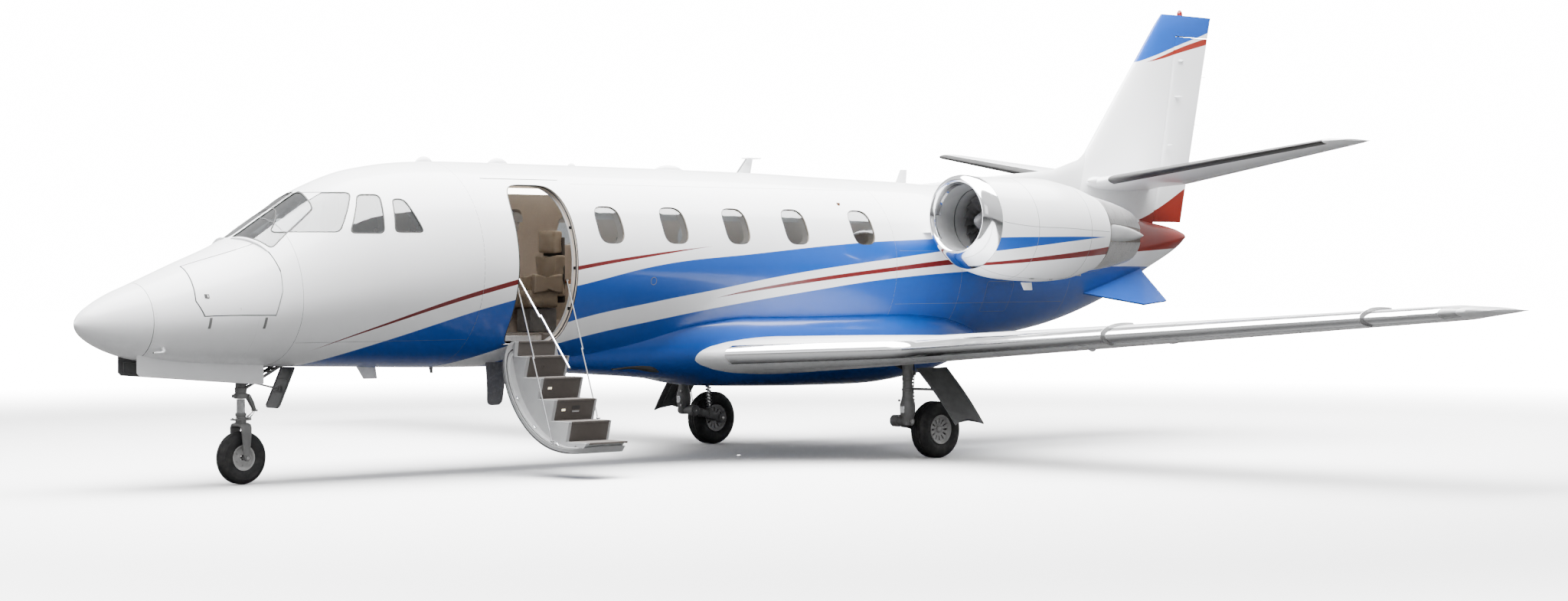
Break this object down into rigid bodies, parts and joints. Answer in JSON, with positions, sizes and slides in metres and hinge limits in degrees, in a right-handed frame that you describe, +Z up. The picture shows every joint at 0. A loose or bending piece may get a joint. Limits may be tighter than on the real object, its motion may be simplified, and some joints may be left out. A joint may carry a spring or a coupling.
{
  "type": "business jet",
  "caption": "Twin-engined business jet parked on its gear, airstair down, with rear fuselage engines and a low tapered wing.",
  "frame": {"origin": "on the ground under the middle of the bounding box", "axes": "-X to the nose, -Y to the door side, +Z up"},
  "size_m": [16, 17.17, 5.2253],
  "materials": {
    "white_paint": "gloss white aircraft paint",
    "blue_paint": "gloss blue aircraft paint",
    "bright_metal": "polished and heat-tinted metal",
    "fan_metal": "dark satin metal",
    "gear_grey": "gloss light grey paint",
    "bright_steel": "polished steel",
    "tyre_black": "black rubber on a light grey rim",
    "beige_leather": "soft beige leather",
    "door_grey": "satin light grey with taupe treads",
    "cabin_carpet": "dark brown carpet",
    "beacon_dark": "dark red lens"
  },
  "bodies": {
    "airframe": {"aft_fuselage": "white_paint", "beacon": "beacon_dark", "belly_fairing": "blue_paint", "cabin_floor": "cabin_carpet", "cabin_seat_1_left": "beige_leather", "cabin_seat_1_right": "beige_leather", "cabin_seat_2_left": "beige_leather", "cabin_seat_2_right": "beige_leather", "cabin_shell": "white_paint", "cockpit_section": "white_paint", "crew_seat_left": "beige_leather", "crew_seat_right": "beige_leather", "fin": "white_paint", "leg_door_left": "gear_grey", "leg_door_right": "gear_grey", "main_leg_left": "gear_grey", "main_leg_right": "gear_grey", "nacelle_left": "white_paint", "nacelle_right": "white_paint", "nose_gear_door_left": "gear_grey", "nose_gear_door_right": "gear_grey", "nose_leg": "gear_grey", "nose_section": "white_paint", "radome": "white_paint", "reverser_left": "bright_metal", "reverser_right": "bright_metal", "shock_left": "bright_steel", "shock_right": "bright_steel", "tail_cone": "white_paint", "tailplane_left": "white_paint", "tailplane_right": "white_paint", "trailing_arm_left": "gear_grey", "trailing_arm_right": "gear_grey", "wing_left": "white_paint", "wing_right": "white_paint"},
    "main_wheel_left": {"main_wheel_left": "tyre_black"},
    "fan_left": {"fan_left": "fan_metal"},
    "flap_left": {"flap_left": "white_paint"},
    "aileron_left": {"aileron_left": "white_paint"},
    "elevator_left": {"elevator_left": "white_paint"},
    "baggage_door_left": {"baggage_door_left": "white_paint"},
    "main_wheel_right": {"main_wheel_right": "tyre_black"},
    "fan_right": {"fan_right": "fan_metal"},
    "flap_right": {"flap_right": "white_paint"},
    "aileron_right": {"aileron_right": "white_paint"},
    "elevator_right": {"elevator_right": "white_paint"},
    "baggage_door_right": {"baggage_door_right": "white_paint"},
    "nose_steering": {"nose_fork": "bright_steel"},
    "nose_wheel": {"nose_wheel": "tyre_black"},
    "rudder": {"rudder": "white_paint"},
    "airstair_door": {"airstair_door": "door_grey"},
    "stay_forward_near": {"stay_forward_near": "bright_steel"},
    "stay_forward_far": {"stay_forward_far": "bright_steel"},
    "stay_aft_near": {"stay_aft_near": "bright_steel"},
    "stay_aft_far": {"stay_aft_far": "bright_steel"},
    "handrail_near": {"handrail_near": "bright_steel"},
    "handrail_far": {"handrail_far": "bright_steel"}
  },
  "joints": [
    {"name": "nose_steering_turn", "type": "hinge", "parent": "airframe", "child": "nose_steering", "pos_m": [-6.26, 0, 0.25], "axis": [0, 0, 1], "range_deg": [-60, 60]},
    {"name": "nose_wheel_spin", "type": "hinge", "parent": "nose_steering", "child": "nose_wheel", "pos_m": [-6.26, 0, 0.25], "axis": [0, 1, 0], "continuous": true},
    {"name": "main_wheel_left_spin", "type": "hinge", "parent": "airframe", "child": "main_wheel_left", "pos_m": [1.19, -1.8, 0.3], "axis": [0, 1, 0], "continuous": true},
    {"name": "fan_left_spin", "type": "hinge", "parent": "airframe", "child": "fan_left", "pos_m": [2.2, -1.62, 2.52], "axis": [1, 0, 0], "continuous": true},
    {"name": "main_wheel_right_spin", "type": "hinge", "parent": "airframe", "child": "main_wheel_right", "pos_m": [1.19, 1.8, 0.3], "axis": [0, 1, 0], "continuous": true},
    {"name": "fan_right_spin", "type": "hinge", "parent": "airframe", "child": "fan_right", "pos_m": [2.2, 1.62, 2.52], "axis": [1, 0, 0], "continuous": true},
    {"name": "flap_left_hinge", "type": "hinge", "parent": "airframe", "child": "flap_left", "pos_m": [1.65733, -1.1, 1.09233], "axis": [0.0051, 0.9976, -0.0689], "range_deg": [0, 35]},
    {"name": "aileron_left_hinge", "type": "hinge", "parent": "airframe", "child": "aileron_left", "pos_m": [1.79493, -5.5, 1.39633], "axis": [0.0053, 0.9976, -0.069], "range_deg": [-20, 15]},
    {"name": "elevator_left_hinge", "type": "hinge", "parent": "airframe", "child": "elevator_left", "pos_m": [6.7758, -0.24, 3.05158], "axis": [-0.0036, 0.9898, -0.1421], "range_deg": [-20, 15]},
    {"name": "flap_right_hinge", "type": "hinge", "parent": "airframe", "child": "flap_right", "pos_m": [1.65733, 1.1, 1.09233], "axis": [-0.0051, 0.9976, 0.0689], "range_deg": [0, 35]},
    {"name": "aileron_right_hinge", "type": "hinge", "parent": "airframe", "child": "aileron_right", "pos_m": [1.79493, 5.5, 1.39633], "axis": [-0.0053, 0.9976, 0.069], "range_deg": [-20, 15]},
    {"name": "elevator_right_hinge", "type": "hinge", "parent": "airframe", "child": "elevator_right", "pos_m": [6.7758, 0.24, 3.05158], "axis": [0.0036, 0.9898, 0.1421], "range_deg": [-20, 15]},
    {"name": "rudder_hinge", "type": "hinge", "parent": "airframe", "child": "rudder", "pos_m": [6.86286, 0, 2.575], "axis": [0.1895, 0, 0.9819], "range_deg": [-22, 22]},
    {"name": "airstair_hinge", "type": "hinge", "parent": "airframe", "child": "airstair_door", "pos_m": [-3.365, -0.64, 1.262], "axis": [1, 0, 0], "range_deg": [-130, 0]},
    {"name": "stay_forward_foot", "type": "hinge", "parent": "airstair_door", "child": "stay_forward_near", "pos_m": [-3.7, -1.445, 0.356], "axis": [1, 0, 0], "range_deg": [-29.85, 0]},
    {"name": "stay_forward_knee", "type": "hinge", "parent": "stay_forward_near", "child": "stay_forward_far", "pos_m": [-3.68657, -1.1535, 1.1505], "axis": [1, 0, 0], "range_deg": [0, 180]},
    {"name": "stay_aft_foot", "type": "hinge", "parent": "airstair_door", "child": "stay_aft_near", "pos_m": [-3.063, -1.358, 0.555], "axis": [1, 0, 0], "range_deg": [-29.97, 0]},
    {"name": "stay_aft_knee", "type": "hinge", "parent": "stay_aft_near", "child": "stay_aft_far", "pos_m": [-3.04957, -1.113, 1.227], "axis": [1, 0, 0], "range_deg": [0, 180]},
    {"name": "handrail_foot", "type": "hinge", "parent": "airframe", "child": "handrail_near", "pos_m": [-3.65, -0.753, 2.044], "axis": [1, 0, 0], "range_deg": [0, 76.67]},
    {"name": "handrail_knee", "type": "hinge", "parent": "handrail_near", "child": "handrail_far", "pos_m": [-3.62917, -1.1905, 1.5525], "axis": [1, 0, 0], "range_deg": [-180, 0]},
    {"name": "baggage_door_left_hinge", "type": "hinge", "parent": "airframe", "child": "baggage_door_left", "pos_m": [-6.644, -0.2525, 2.1715], "axis": [-0.908, 0.291, -0.3014], "range_deg": [0, 75]},
    {"name": "baggage_door_right_hinge", "type": "hinge", "parent": "airframe", "child": "baggage_door_right", "pos_m": [-6.644, 0.2525, 2.1715], "axis": [0.908, 0.291, 0.3014], "range_deg": [0, 75]}
  ],
  "couplings": [
    {"joint": "stay_forward_foot", "follows": "airstair_hinge", "ratio": 0.22962},
    {"joint": "stay_forward_knee", "follows": "airstair_hinge", "ratio": -1.3846},
    {"joint": "stay_aft_foot", "follows": "airstair_hinge", "ratio": 0.23054},
    {"joint": "stay_aft_knee", "follows": "airstair_hinge", "ratio": -1.3846},
    {"joint": "handrail_foot", "follows": "airstair_hinge", "ratio": -0.58977},
    {"joint": "handrail_knee", "follows": "airstair_hinge", "ratio": 1.3846}
  ]
}
